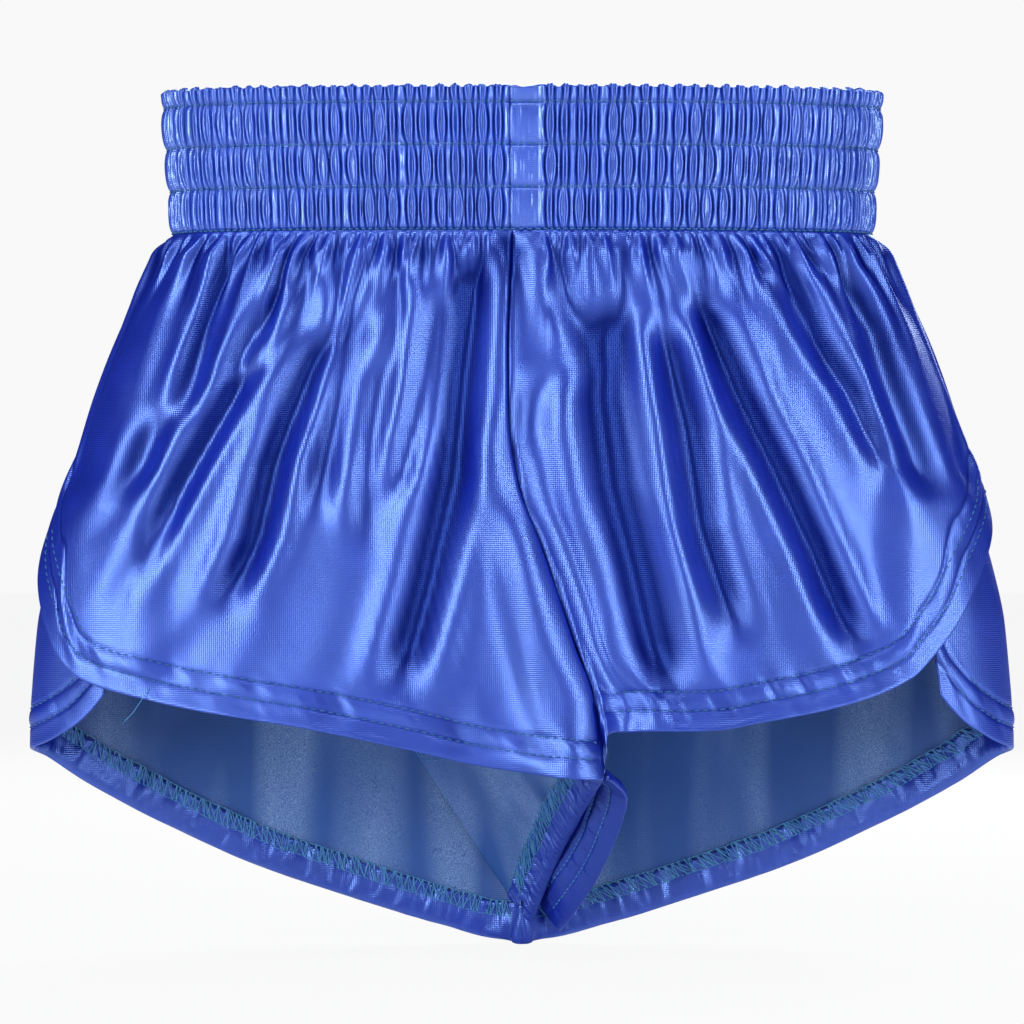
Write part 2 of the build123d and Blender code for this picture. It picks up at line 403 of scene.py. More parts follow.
def pleat_relief(w, bow, pinch):
    """Height across pinched pairs of pleats: two crests round a sunken lens, flats between."""
    k = nearest_pleat(w)
    offset = (w - PLEATS[k]) * LOOP_MM
    half_lens = 0.45 + bow[k]
    edge = np.abs(offset) - half_lens
    crest = hill(edge, 0, 0.36)
    gully = hill(edge, 0.78, 0.34)
    lens = 1 / (1 + np.exp(np.clip(edge / 0.16, -30, 30)))
    flat = smoothstep(0.8, 2.3, edge)
    return (0.50 * crest - 0.62 * gully - 0.28 * lens + 0.42 * flat) * pinch


# ---- body panels

CENTRE_SHIFT = np.array([  # height, how far the centre front seam lies to the side
    (60, 29), (90, 27), (111, 20), (146, 8), (167, -1), (195, -5), (254, -3.5),
])
FRONT_HEM = (  # x, z of the hem edge from the right side of the wearer to the left
    (-168, 118), (-163, 106), (-155, 98.4), (-130, 91), (-113, 87.5), (-78, 82), (-43, 75),
    (-8, 67.5), (28, 64), (29.3, 79.0), (32, 80.2), (67, 81), (82, 83.5), (110, 89), (135.5, 98.7),
    (143, 106), (151, 116), (160, 133),
)
FRONT_HEM_ENDS = (150.0, 163.0)  # z of the hem at the right and the left side edge
HEM_ROWS = (7.0, 13.6)  # distances of the stitch rows from the hem edge
HEM_DEPTH = 14.5  # from the hem edge up to the raw edge of the turned-up cloth
UNDER_FRONT = 4.8  # how far the wraps of the back lie inside the form


def centre_shift(u, z):
    return pchip(z, CENTRE_SHIFT[:, 0], CENTRE_SHIFT[:, 1]) * (1 - np.abs(u)) ** 1.6


class FrontSheet(Sheet):
    share = 0.998  # of the half loop from side seam to side seam
    thin_share = 0.03

    def __init__(self, rows, columns):
        self.form = Form(BODY_LEVELS, 0.2, 0.2, 0.2)
        fine = np.linspace(-1, 1, 2001)
        us, zs = [-1.0], [FRONT_HEM_ENDS[0]]
        for x, z in FRONT_HEM:
            xs = self.form.point(fine * self.share, z)[:, 0] + centre_shift(fine, z)
            us.append(float(np.interp(x, xs, fine)))
            zs.append(z)
        super().__init__(self.form, us + [1.0], zs + [FRONT_HEM_ENDS[1]], rows, columns)

    def edge_share(self, u):
        return smoothstep(0.02, 0.10, np.abs(u))

    def span(self, z):
        return self.share

    def base(self, rows, columns):
        u, _, z = self.grid(rows, columns)
        points = self.form.point(self.loop_share(u, z), z)
        points[..., 0] += centre_shift(u, z)
        low = 1 - smoothstep(130, 215, z)
        points[..., 1] -= 8.5 * hill(u, -0.045, 0.06) * low
        points[..., 1] += 5.0 * hill(u, 0.045, 0.04) * low
        return points


def loop_from_back(share):
    """w of a place given by its share of the loop from mid-back, counted towards -X."""
    return np.where(share < 0, 1, -1) * (2 - np.abs(share))


class BackSheet(Sheet):
    wrap = ((93, 146), (107, 144), (127, 147), (146, 153), (160, 158))  # z, x of its front edges
    hem = ((0, 2), (8, 2), (30, 7), (62, 17), (96, 29), (130, 45), (155, 59), (171, 70))  # x, z
    hem_in_front = ((169, 75), (158, 81), (151, 87))

    def __init__(self, rows, columns):
        self.form = Form(BODY_LEVELS, UNDER_FRONT, UNDER_FRONT, 0.9)
        wrap = [(z, 2 - self.form.share_at(x, z)) for z, x in self.wrap]
        spans = wrap + [(172, 1.04), (BAND_FOOT, 1.03)]
        self.span_z, self.span_w = np.array(spans).T
        behind = [(self.form.share_at(x, z) / self.span(z), z) for x, z in self.hem]
        beside = [((2 - self.form.share_at(x, z)) / self.span(z), z) for x, z in self.hem_in_front]
        us, zs = map(list, zip(*behind, *beside, (1.0, self.wrap[0][0])))
        us = [-u for u in us[:0:-1]] + us
        zs = zs[:0:-1] + zs
        super().__init__(self.form, us, zs, rows, columns)

    def span(self, z):
        return pchip(z, self.span_z, self.span_w)

    def base(self, rows, columns):
        u, _, z = self.grid(rows, columns)
        return self.form.point(loop_from_back(self.loop_share(u, z)), z)


VALLEYS = (  # depth, width, then x, z down the middle of each fold of the front
    (3.4, 4.5, (-101, 246), (-112, 222), (-120, 195)),
    (2.6, 4.0, (-84, 236), (-93, 222), (-104, 205)),
    (4.8, 5.5, (-70, 218), (-88, 174), (-94, 148), (-103, 128)),
    (4.2, 5.0, (-98, 206), (-118, 173), (-132, 148), (-142, 126)),
    (3.0, 5.0, (-131, 190), (-144, 159), (-153, 146)),
    (3.4, 5.5, (-58, 224), (-64, 200), (-67, 183), (-72, 160)),
    (2.4, 5.0, (-50, 208), (-54, 183), (-54, 150)),
    (5.2, 6.5, (-17, 242), (-22, 204), (-25, 169), (-33, 134), (-42, 100)),
    (2.8, 4.5, (-29, 232), (-37, 187), (-45, 160)),
    (2.4, 4.5, (12, 246), (17, 228), (21, 214)),
    (1.6, 6.5, (14, 210), (5, 196), (-1, 178)),
    (6.0, 8.0, (29, 226), (28, 197), (32, 165), (40, 135), (49, 98)),
    (4.0, 5.5, (49, 220), (58, 187), (63, 152), (74, 118)),
    (5.0, 5.5, (64, 228), (76, 199), (90, 172), (103, 144), (116, 112)),
    (3.6, 5.0, (90, 242), (103, 218), (117, 198), (130, 172)),
    (3.4, 5.5, (113, 240), (126, 220), (133, 196), (146, 160)),
)


def over_wrap(x, z):
    """Share, 0 to 1, to which the front lies on the wrap of the back panel."""
    return smoothstep(122, 138, np.abs(x)) * (1 - smoothstep(158, 176, z))


def valleys(x, z):
    """Depth of the big folds at places of the front, each fading out at its ends."""
    total = np.zeros_like(x)
    for depth, width, *line in VALLEYS:
        xs, zs = np.array(line[::-1]).T
        offset = (x - np.interp(z, zs, xs)) / width
        fade = smoothstep(zs[0] - 12, zs[0] + 14, z) * (1 - smoothstep(zs[-1] - 8, zs[-1] + 8, z))
        ridges = hill(np.abs(offset), 1.9, 0.9)
        total += depth * fade * (hill(offset, 0, 1) - 0.35 * ridges)
    return total * (1 - 0.75 * over_wrap(x, z))


def crumpled_start(sheet, points, u, t, seed):
    """The sheet's start for the cloth run, gathered into rough folds that run down it."""
    folds = 2.4 * noise(u * 8 + 20, t * 1.4, seed)
    folds += 1.8 * noise(u * 17 + 20, t * 2.0 + 7, seed + 1) * (1 - 0.4 * t)
    folds += 1.1 * noise(u * 36 + 20, t * 2.6 + 3, seed + 2) * (1 - t) ** 1.5
    if isinstance(sheet, FrontSheet):
        folds = 0.5 * folds - 0.5 * valleys(points[..., 0], points[..., 2])
    envelope = smoothstep(0, 0.08, t) * (1 - smoothstep(0.88, 1, t))
    return points + normals_of(points) * (folds * envelope)[..., None]


def smoothed(field, passes):
    """The grid with its interior evened out between neighbours."""
    for _ in range(passes):
        around = field[:-2, 1:-1] + field[2:, 1:-1] + field[1:-1, :-2] + field[1:-1, 2:]
        field = field.copy()
        field[1:-1, 1:-1] = 0.4 * field[1:-1, 1:-1] + 0.15 * around
    return field


def draped(sheet, rows, columns, seed):
    """Offsets of the draped cloth from its form, from a cloth run on a coarse grid."""
    base = sheet.base(rows, columns)
    u, t, z = sheet.grid(rows, columns)
    start = crumpled_start(sheet, base, u, t, seed)
    fullness = pchip(z, (0, 90, 160, 210, BAND_FOOT), (1.04, 1.04, 1.02, 1.0, 0.98))
    quarter = fullness * sheet.form.length(100.0)
    flat = np.stack([sheet.loop_share(u, z) * quarter, np.zeros_like(z), z * 1.035], axis=-1)
    pinned = np.zeros((rows, columns))
    pinned[0] = 1.0
    pinned[-1] = 0.6
    pinned[:, :2] = pinned[:, -2:] = 1.0
    settled = relaxed(start, flat, pinned)
    offset = smoothed(settled - base, 3)
    normal = normals_of(base)
    out = (offset * normal).sum(-1, keepdims=True)
    along = offset - out * normal
    out = np.where(out > 0, 10 * np.tanh(out / 10), 5 * np.tanh(out / 5))
    reach = np.linalg.norm(along, axis=-1, keepdims=True)
    along *= 4 * np.tanh(reach / 4) / np.maximum(reach, 1e-6)
    if isinstance(sheet, FrontSheet):
        held = over_wrap(base[..., 0], z)[..., None]
        out = np.where(out < 0, out * (1 - 0.8 * held), out)
        out = out - 0.95 * valleys(base[..., 0], base[..., 2])[..., None]
    else:
        tucked = smoothstep(0.80, 0.93, np.abs(sheet.loop_share(u, z)))[..., None]
        out, along = out * (1 - 0.85 * tucked), along * (1 - tucked)
    return out * normal + along


def dress(sheet, offsets):
    """Turns the draped offsets into the finished surface, with gathers, seams and hem relief, and the
    painted shade of its creases.
    """
    rows, columns = sheet.rows, sheet.columns
    u, _, z = sheet.grid(rows, columns)
    points = sheet.base(rows, columns) + upsampled(offsets, rows, columns)
    share = sheet.loop_share(u, z)
    in_front = isinstance(sheet, FrontSheet)
    w = share if in_front else loop_from_back(share)
    below = BAND_FOOT - z
    s = share * sheet.form.length(z)

    nearest = np.interp(w, PLEATS, np.arange(PLEAT_COUNT))
    fine = 0.5 + 0.5 * np.cos(2 * math.pi * (nearest + 0.25 * noise(w * 30, z / 9, 5)))
    pair = 0.5 + 0.5 * np.cos(math.pi * (nearest + 0.7 * noise(w * 12, z / 25, 6)))
    near_band = smoothstep(0, 3, below) * np.exp(-below / 8)
    fan = smoothstep(1, 9, below) * np.exp(-below / (16 + 10 * noise(w * 22, 0 * z, 7)))
    loose = 1.0 if in_front else 1 - 0.8 * smoothstep(0.88, 0.95, np.abs(share))
    relief = 2.2 * (fine**1.5 - 0.4) * near_band + 4.4 * (pair**1.3 - 0.3) * fan
    relief = (relief + 2.6 * smoothstep(0, 9, below) * np.exp(-below / 16)) * loose
    # Painted shade, 0 to 1: in the gullies of the gathers under the band, the big fold valleys, the hem
    # puckers, the hem stitch rows and the seam groove.
    crease_shade = 0.95 * (1 - fine) ** 2 * near_band + 1.6 * (1 - pair) ** 2 * fan
    if in_front:
        crease_shade += 0.28 * np.maximum(valleys(points[..., 0], z), 0)

    edge_z = sheet.hem_height(u)
    slope = np.gradient(edge_z[0]) / np.gradient(s[-1])
    d = (z - edge_z) / np.sqrt(1 + slope**2)[None]
    hem_zone = hill(d, 9, 6)
    pucker = noise(s / 4.2 + d / 9, d / 11, 11)
    relief += 0.6 * pucker * hem_zone
    crease_shade += 0.55 * np.maximum(-pucker - 0.1, 0) * hem_zone
    for row in HEM_ROWS:
        relief -= 0.38 * hill(d, row, 0.8)
        crease_shade += 0.6 * hill(d, row, 0.5)
    relief += 0.25 * hill(d, 10.3, 2.0)

    relief += 0.18 * noise(s / 11, z / 24, 21)
    seam = hill(s, 0, 0.8) * smoothstep(0, 2, below)
    relief -= 0.9 * seam
    crease_shade += 0.8 * seam
    above_split = smoothstep(148, 176, z)
    if in_front:
        relief -= 3.6 * smoothstep(0.955, 1.0, np.abs(u)) * above_split
    else:
        beside = smoothstep(0.78, 0.93, np.abs(share)) * (1 - smoothstep(0.98, 1.0, np.abs(share)))
        relief += 3.4 * beside * above_split
        relief -= 7.0 * np.exp(-np.abs(s) / 4.5) * (1 - smoothstep(56, 84, z))
    sheet.crease_shade = np.clip(crease_shade, 0, 1)
    sheet.finish(points + normals_of(points) * relief[..., None])


def hem_fold(sheet, columns_kept):
    """Rows that carry the sheet round its hem edge and up inside as the turned-up hem."""
    u = np.linspace(-1, 1, sheet.columns)
    edge, normal = sheet.at(u, np.ones_like(u))
    inside, _ = sheet.at(*sheet.from_hem(u, 1.5))
    outward = unit(edge - inside)
    turn = ((0.35, 0.15), (0.5, 0.5), (0.35, 0.85))
    rows = [edge + outward * reach - normal * depth for reach, depth in turn]
    for distance in np.concatenate([[0.5], np.linspace(1.5, HEM_DEPTH - RAW_EDGE, 11)]):
        rows.append(sheet.under(*sheet.from_hem(u, distance), sheet.fold_depth(u, distance))[0])
    return np.stack(rows)[:, columns_kept]


def panel(name, sheet, columns_kept, materials):
    """A panel object: part of a sheet, its hem turned up inside, with the cloth's thickness."""
    points = np.concatenate([sheet.points[:, columns_kept], hem_fold(sheet, columns_kept)])
    obj = mesh_object(name, points, grid_faces(*points.shape[:2]), materials)
    # Painted shade in the creases of the outer face; none on the turned-up hem.
    crease_shade = np.zeros(points.shape[:2])
    crease_shade[:sheet.rows] = sheet.crease_shade[:, columns_kept]
    store_crease_shade(obj, crease_shade)
    shell(obj)
    return obj


# ---- waistband

CASING_DEPTH = 3.6  # from the outer to the inner face
ROLL = 1.6  # height of the rolled top edge
BAND_COLUMNS = 2400
BOWS = [RNG.uniform(0.0, 1.0, PLEAT_COUNT) for _ in ROWS_OF_SHIRRING]
LEANS = [RNG.uniform(-0.6, 0.6, PLEAT_COUNT) for _ in ROWS_OF_SHIRRING]


def channel(z):
    """Which channel between stitch rows a height is in, and how free its cloth is, 0 to 1."""
    for k, (high, low) in enumerate(zip(ROWS_OF_SHIRRING, ROWS_OF_SHIRRING[1:])):
        if low <= z <= high:
            return k, math.sin(math.pi * (z - low) / (high - low))
    above = (z - ROWS_OF_SHIRRING[0]) / (TOP - ROWS_OF_SHIRRING[0])
    return 3, 0.8 * math.sin(math.pi / 2 * min(above, 1))


def lean_of(w, k, free):
    """Sideways shift, in w, of the pleat nearest to each place."""
    return LEANS[k][nearest_pleat(w)] * free**0.5 / LOOP_MM


def plain_share(w):
    """1 on the plain patch at mid-front, 0 away from it."""
    low, high = PLAIN_PATCHES[0]
    return smoothstep(low, low + 0.008, w) * (1 - smoothstep(high - 0.008, high, w))


def band_relief(w, z):
    """How far the casing stands out from its form at one height."""
    k, free = channel(z)
    lean = lean_of(w, k, free)
    pleated = pleat_relief(w - lean, BOWS[k] * free, 0.35 + 0.65 * free**0.5)
    pleated = 1.9 * pleated + 0.10 * noise(w * 260, z / 3.0, 51) * free
    plain = plain_share(w)
    low, high = PLAIN_PATCHES[0]
    dome = np.clip((w - low) * (high - w), 0, None) * 1.6 / (high - low) ** 2
    smooth = 0.2 * free**0.5 + dome + 0.12 * noise(w * 150, z / 4.0, 52)
    return pleated * (1 - plain) + smooth * plain + 0.55 * free**0.6 - 0.55 * (1 - free) ** 3


def band_crease_shade(w, z):
    """How much painted shade darkens the cloth between pleats, along the stitch rows and at the seam, 0
    to 1.
    """
    k, free = channel(z)
    nearest = nearest_pleat(w)
    offset = np.abs(w - lean_of(w, k, free) - PLEATS[nearest]) * LOOP_MM
    edge = offset - 0.45 - (BOWS[k] * free)[nearest]
    gully = hill(edge, 0.8, 0.3) + 0.55 * hill(edge, -0.75, 0.4)
    seam = hill((w - PLAIN_PATCHES[0][0]) * LOOP_MM, 0, 0.5)
    pleated = gully * (1 - plain_share(w)) * (0.5 + 0.5 * free)
    return np.clip(pleated + 0.5 * (1 - free) ** 6 + seam, 0, 1)


def band_ring(w, z, out):
    """Points round the band at one height, moved outwards."""
    height = np.full_like(w, z)
    step = BAND.point(w + 0.002, height) - BAND.point(w - 0.002, height)
    outward = unit(np.stack([step[:, 1], -step[:, 0], np.zeros_like(w)], axis=-1))
    return BAND.point(w, height) + outward * np.reshape(out, (-1, 1)), outward


def band_heights():
    rows = ROWS_OF_SHIRRING
    channels = [np.linspace(a, b, 19)[1:] for a, b in zip(rows, rows[1:])]
    return np.concatenate([np.linspace(TOP - ROLL, rows[0], 9), *channels])


def waistband(materials):
    """The casing as one closed ring: inner face, rolled top edge, outer face and foot."""
    w = np.linspace(-2, 2, BAND_COLUMNS, endpoint=False)
    heights = band_heights()
    rows = [band_ring(w, z, -CASING_DEPTH + 0.6 * band_relief(w, z))[0] for z in heights[::-2]]
    crest = band_relief(w, TOP - ROLL)
    count = np.interp(w, PLEATS, np.arange(PLEAT_COUNT))
    scallop = 0.9 * (0.5 + 0.5 * np.cos(2 * math.pi * count))
    scallop += 0.35 * noise(w * 70, 0 * w, 53)
    for angle in np.linspace(0, math.pi, 9)[1:-1]:
        share = (1 - math.cos(angle)) / 2
        out = -CASING_DEPTH * (1 - share) + crest * (share + 0.6 * (1 - share))
        ring = band_ring(w, TOP - ROLL, out)[0]
        ring[:, 2] += (0.6 + scallop) * math.sin(angle)
        rows.append(ring)
    rows += [band_ring(w, z, band_relief(w, z))[0] for z in heights]
    points = np.stack(rows)
    faces = grid_faces(*points.shape[:2], wrap_rows=True, wrap_columns=True)
    casing = mesh_object("waistband_casing", points, faces, materials)
    # Painted shade on the outer face only; the inner face and the roll get none.
    inner = np.zeros((len(rows) - len(heights), BAND_COLUMNS))
    store_crease_shade(casing, np.concatenate([inner, [band_crease_shade(w, z) for z in heights]]))
    return casing


def store_crease_shade(obj, values):
    """Stores painted shade: how deep in a crease each vertex lies, for the material to darken."""
    layer = obj.data.attributes.new("crease_shade", "FLOAT", "POINT")
    layer.data.foreach_set("value", np.asarray(values, np.float32).ravel())


def elastic(materials):
    """The knitted elastic inside the casing, ribbed round its length."""
    w = np.linspace(-2, 2, 500, endpoint=False)
    heights = np.linspace(ROWS_OF_SHIRRING[0] + 3, BAND_FOOT + 1.5, 150)
    rib = 0.18 * np.cos(2 * math.pi * heights / 2.4)
    rows = [band_ring(w, z, -2.3 - r)[0] for z, r in zip(heights[::-1], rib[::-1])]
    rows += [band_ring(w, z, -1.35 + r)[0] for z, r in zip(heights, rib)]
    points = np.stack(rows)
    faces = grid_faces(*points.shape[:2], wrap_rows=True, wrap_columns=True)
    return mesh_object("elastic_band", points, faces, materials)


# ---- inner-thigh walls

def curve(places, count):
    """A smooth curve through places, evenly divided by its parameter."""
    places = np.array(places, float)
    run = run_along(places)
    along = np.linspace(0, run[-1], count)
    return np.stack([pchip(along, run, places[:, k]) for k in range(3)], axis=-1)


class Wall(Cloth):
    """The inner-thigh cloth of one leg, ruled from the crotch seam down to its hem edge."""

    def __init__(self, seam, hem, seed, rows=120, columns=240):
        top, bottom = curve(seam, columns), curve(hem, columns)
        self.lengths = np.maximum(np.linalg.norm(bottom - top, axis=-1), 0.5)
        t = np.linspace(0, 1, rows)[:, None]
        u = np.linspace(-1, 1, columns)[None]
        points = top[None] * (1 - t[..., None]) + bottom[None] * t[..., None]
        relief = 1.6 * noise(u * 2.5 + 5, t * 2, seed) + 0.6 * noise(u * 7 + 9, t * 4, seed + 1)
        relief = relief * np.sin(math.pi * t) * (1 - u**4)
        distance = (1 - t) * self.lengths[None]
        for row in HEM_ROWS:
            relief -= 0.4 * hill(distance, row, 0.8)
        near_hem = hill(distance, 8, 7)
        relief += 0.25 * noise(u * 22 + 30, distance / 5, seed + 2) * near_hem
        # The walls get no painted shade.
        self.crease_shade = np.zeros_like(relief)
        self.finish(points + normals_of(points) * relief[..., None])

    def length_at(self, u):
        return np.interp(u, np.linspace(-1, 1, self.columns), self.lengths)

    def from_hem(self, u, distance):
        return u, np.clip(1 - distance / self.length_at(u), 0, 1)

    def under(self, u, t, depth):
        """Points behind the outer face; all layers thin out where the wall ends in a point."""
        return super().under(u, t, depth * smoothstep(0, 6, self.length_at(u)))


CROTCH = (28, -54.5, 65)
RISE = (CROTCH, (4, -10, 74), (-18, 25, 76), (-42, 43.5, 74))
RISE_OF_LEFT_LEG = [(x + 1.6, y, z - 0.6) for x, y, z in RISE]
RIGHT_LEG_HEM = ((28, -54.8, 64), (21, -10, 49), (12, 25, 29), (3, 45, 6))
LEFT_LEG_HEM = ((29, -54, 64), (36, -30, 55), (27, 8, 27), (18.5, 30, 12), (13.3, 45, 4))


# ---- threads

LOOPER = (2.2, 0.17, 0.02, 0.1)  # pitch, radius, gap and lift of an overlock's edge thread
SHIRRING = (2.9, 0.32, 0.14, 0.35)  # the same of the band's elastic thread
RAW_EDGE = 0.9  # how far inside the overlock the turned-up cloth ends


class Threads:
    """Gathers lengths of thread, all tubes, into one object."""

    def __init__(self):
        self.points, self.faces, self.count = [], [], 0

    def tubes(self, centres, normals, radius, sides=6):
        """Adds tubes from centre lines (tube, section) with a surface normal at each section."""
        along = np.gradient(centres, axis=1)
        side = unit(np.cross(along, normals))
        up = unit(np.cross(side, along))
        angle = np.linspace(0, 2 * math.pi, sides, endpoint=False)[:, None]
        ring = side[..., None, :] * np.cos(angle) + up[..., None, :] * np.sin(angle)
        tubes, sections = centres.shape[:2]
        start = np.arange(tubes)[:, None, None] * sections * sides + self.count
        pattern = grid_faces(sections, sides, wrap_columns=True)[None]
        self.points.append((centres[..., None, :] + ring * radius).reshape(-1, 3))
        self.faces.append((start + pattern).reshape(-1, 4))
        self.count += tubes * sections * sides

    def stitches(self, path, normals, pitch=3.0, radius=0.26, gap=0.17, lift=0.2):
        """Lockstitches along a path: each rises from its hole, lies on the cloth and dives."""
        holes = evenly(path, pitch)
        share = np.linspace(gap, 1 - gap, 7)
        index = holes[:-1, None] * (1 - share) + holes[1:, None] * share
        arch = np.sin(math.pi * np.linspace(0, 1, 7)) ** 0.6
        centres, normal = along_path(path, index), along_path(normals, index)
        centres = centres + normal * ((lift + 2.0 * radius) * arch - 2.0 * radius)[:, None]
        self.tubes(centres, normal, radius)

    def zigzag(self, near, far, normals, pitch=2.6, radius=0.19):
        """Overlock thread that runs to and fro between two paths, a little unevenly."""
        low, high = evenly(near, pitch), evenly(far, pitch)
        count = min(len(low), len(high))
        step = (low[-1] - low[0]) / len(low)
        low = np.clip(low[:count] + RNG.uniform(-0.4, 0.4, count) * step, 0, len(near) - 1)
        high = np.clip(high[:count] + (0.5 + RNG.uniform(-0.4, 0.4, count)) * step, 0, len(far) - 1)
        corners = along_path(near, low[:count]), along_path(far, high[:count])
        facing = along_path(normals, low[:count])
        share = np.linspace(0, 1, 6)[None, :, None]
        arch = 0.22 * np.sin(math.pi * share)
        for start, end, face in (
            (corners[0], corners[1], facing),
            (corners[1][:-1], corners[0][1:], facing[1:]),
        ):
            face = np.broadcast_to(face[:, None], (len(face), 6, 3))
            centres = start[:, None] * (1 - share) + end[:, None] * share + face * arch
            self.tubes(centres, face, radius)

    def made(self, name, material):
        return mesh_object(name, np.concatenate(self.points), np.concatenate(self.faces), [material])


def evenly(path, pitch):
    """Fractional indices of evenly spaced places on a path."""
    run = run_along(path)
    count = max(int(run[-1] / pitch), 2)
    return np.interp(np.linspace(0, run[-1], count + 1), run, np.arange(len(path)))


def along_path(table, index):
    i = np.clip(index.astype(int), 0, len(table) - 2)
    f = (index - i)[..., None]
    return table[i] * (1 - f) + table[i + 1] * f


def hem_stitching(cloth, low, high):
    """The two rows of stitching seen on the outside of a hem, between two places u."""
    threads = Threads()
    u = np.linspace(low, high, 1400)
    for row in HEM_ROWS:
        threads.stitches(*cloth.at(*cloth.from_hem(u, row)))
    return threads


def hem_overlock(cloth, low, high):
    """The overlock over the raw edge of a turned-up hem, with its looper and cover threads."""
    threads = Threads()
    u = np.linspace(low, high, 1400)
    lines = {}
    for distance in (8.6, HEM_DEPTH - 0.2):
        depth = cloth.fold_depth(u, min(distance, HEM_DEPTH - RAW_EDGE)) + 0.12
        lines[distance], normals = cloth.under(*cloth.from_hem(u, distance), depth)
        threads.stitches(lines[distance], -normals, *LOOPER)
    threads.zigzag(*lines.values(), -normals)
    threads.zigzag(*lines.values(), -normals, 4.7, 0.15)
    return threads


def allowance(name, cloth, u, t, across, materials):
    """A seam allowance pressed flat inside: two plies, with its overlock along the free edge."""
    count = len(u)
    rows = []
    for share, depth in ((0, 0.55), (0.5, 0.55), (1, 0.55), (1, 1.15), (0.5, 1.2), (0, 1.15)):
        rows.append(cloth.under(u + share * across, t, np.full(count, depth))[0])
    points = np.stack(rows, axis=1)
    obj = mesh_object(name, points, grid_faces(count, 6, wrap_columns=True), materials)
    threads = Threads()
    near, normals = cloth.under(u + 0.35 * across, t, np.full(count, 1.35))
    far, _ = cloth.under(u + 1.02 * across, t, np.full(count, 1.3))
    threads.zigzag(near, far, -normals)
    threads.stitches(near, -normals, *LOOPER)
    return obj, threads


# ---- materials

PAINTED_CREASE_SHADE = (0.12, 0.16, 0.3, 1)  # painted shade: what the satin's colour and sheen are multiplied by deep in a crease


class Graph:
    """A node tree, wired up from values and sockets given by the name or number of each input."""

    def __init__(self, tree):
        self.nodes = tree.nodes
        self.links = tree.links

    def fill(self, node, inputs):
        for key, value in inputs.items():
            if isinstance(value, bpy.types.NodeSocket):
                self.links.new(value, node.inputs[key])
            else:
                node.inputs[key].default_value = value

    def add(self, kind, inputs, output=0, **settings):
        """Adds a node and returns one of its output sockets."""
        made = self.nodes.new("ShaderNode" + kind)
        for key, value in settings.items():
            setattr(made, key, value)
        self.fill(made, inputs)
        return made.outputs[output]

    def mix(self, amount, first, second, blend_type="MIX"):
        """Mixes two colours, which are inputs 6 and 7 and output 2 of a Mix node."""
        inputs = {0: amount, 6: first, 7: second}
        return self.add("Mix", inputs, 2, data_type="RGBA", blend_type=blend_type)

    def speckles(self, where, scale, detail=2.0, roughness=0.5):
        inputs = {"Vector": where, "Scale": scale, "Detail": detail, "Roughness": roughness}
        return self.add("TexNoise", inputs, "Fac")

    def shades(self, factor, colour, *stops):
        """Ramp of lighter and darker shades of a colour, from stops of position and share."""
        out = self.add("ValToRGB", {"Fac": factor}, "Color")
        for element, (position, share) in zip(out.node.color_ramp.elements, stops):
            element.position = position
            element.color = tuple(share * c for c in colour) + (1,)
        return out

    def bump(self, height, strength, distance=0.0002):
        inputs = {"Height": height, "Strength": strength, "Distance": distance}
        return self.add("Bump", inputs, "Normal")

    def weave(self, where, pitch=0.0007):
        """Height of a plain weave of the given pitch in metres."""
        inputs = {"Vector": where, "Scale": 0.314 / pitch, "Distortion": 0.6}
        inputs.update({"Detail": 1.0, "Detail Scale": 3.0})
        across, up = [
            self.add("TexWave", inputs, "Fac", wave_type="BANDS", bands_direction=axis) for axis in "XZ"
        ]
        return self.add("Math", {0: across, 1: 0.6, 2: up}, operation="MULTIPLY_ADD")


def node_material(name):
    """A new material, its graph, its shader and the object's own coordinates."""
    material = bpy.data.materials.new(name)
    material.use_nodes = True
    graph = Graph(material.node_tree)
    where = graph.add("TexCoord", {}, "Object")
    return material, graph, graph.nodes["Principled BSDF"], where


def satin(name, deep, sheen, roughness):
    """Metallic-coated satin: deep blue cloth under a bright blue sheen, broken by its weave."""
    material, graph, shader, where = node_material(name)
    blotches = graph.speckles(where, 55.0, 4.0, 0.6)
    base = graph.shades(blotches, deep, (0.3, 0.88), (0.7, 1.12))
    spread = {"Value": blotches, "To Min": roughness - 0.05, "To Max": roughness + 0.05}
    grain = graph.speckles(where, 1900.0)
    height = graph.add("Math", {0: grain, 1: 1.2, 2: graph.weave(where)}, operation="MULTIPLY_ADD")
    # Painted shade: the stored crease values darken the colour and the sheen towards the creases.
    crease_shade = graph.add("Attribute", {}, "Fac", attribute_name="crease_shade")
    graph.fill(shader, {
        "Base Color": graph.mix(crease_shade, base, PAINTED_CREASE_SHADE, "MULTIPLY"),
        "Specular Tint": graph.mix(crease_shade, sheen + (1,), PAINTED_CREASE_SHADE, "MULTIPLY"),
        "Roughness": graph.add("MapRange", spread),
        "Normal": graph.bump(height, 0.24),
        "IOR": 2.6,
        "Specular IOR Level": 0.75,
    })
    return material


def wrong_side():
    """The uncoated back of the satin: denim blue, with a painted grey sheen, speckled, in soft stripes.
    """
    material, graph, shader, where = node_material("satin_wrong_side")
    long_ways = graph.add("Mapping", {"Vector": where, "Scale": (1, 1, 0.12)})
    # Painted sheen: grey mixed into the colour where fine speckles meet soft long stripes.
    sheen_masks = []
    for field, low, high in (
        (graph.speckles(where, 2600.0), 0.30, 0.75),
        (graph.speckles(long_ways, 48.0, 1.0), 0.40, 0.62),
    ):
        sheen_masks.append(graph.add("MapRange", {"Value": field, "From Min": low, "From Max": high}))
    painted_sheen = graph.add("Math", dict(enumerate(sheen_masks)), operation="MULTIPLY")
    graph.fill(shader, {
        "Base Color": graph.mix(painted_sheen, (0.004, 0.066, 0.29, 1), (0.20, 0.34, 0.61, 1)),
        "Roughness": 0.5,
        "Specular IOR Level": 0.6,
        "Normal": graph.bump(graph.weave(where), 0.3),
    })
    return material


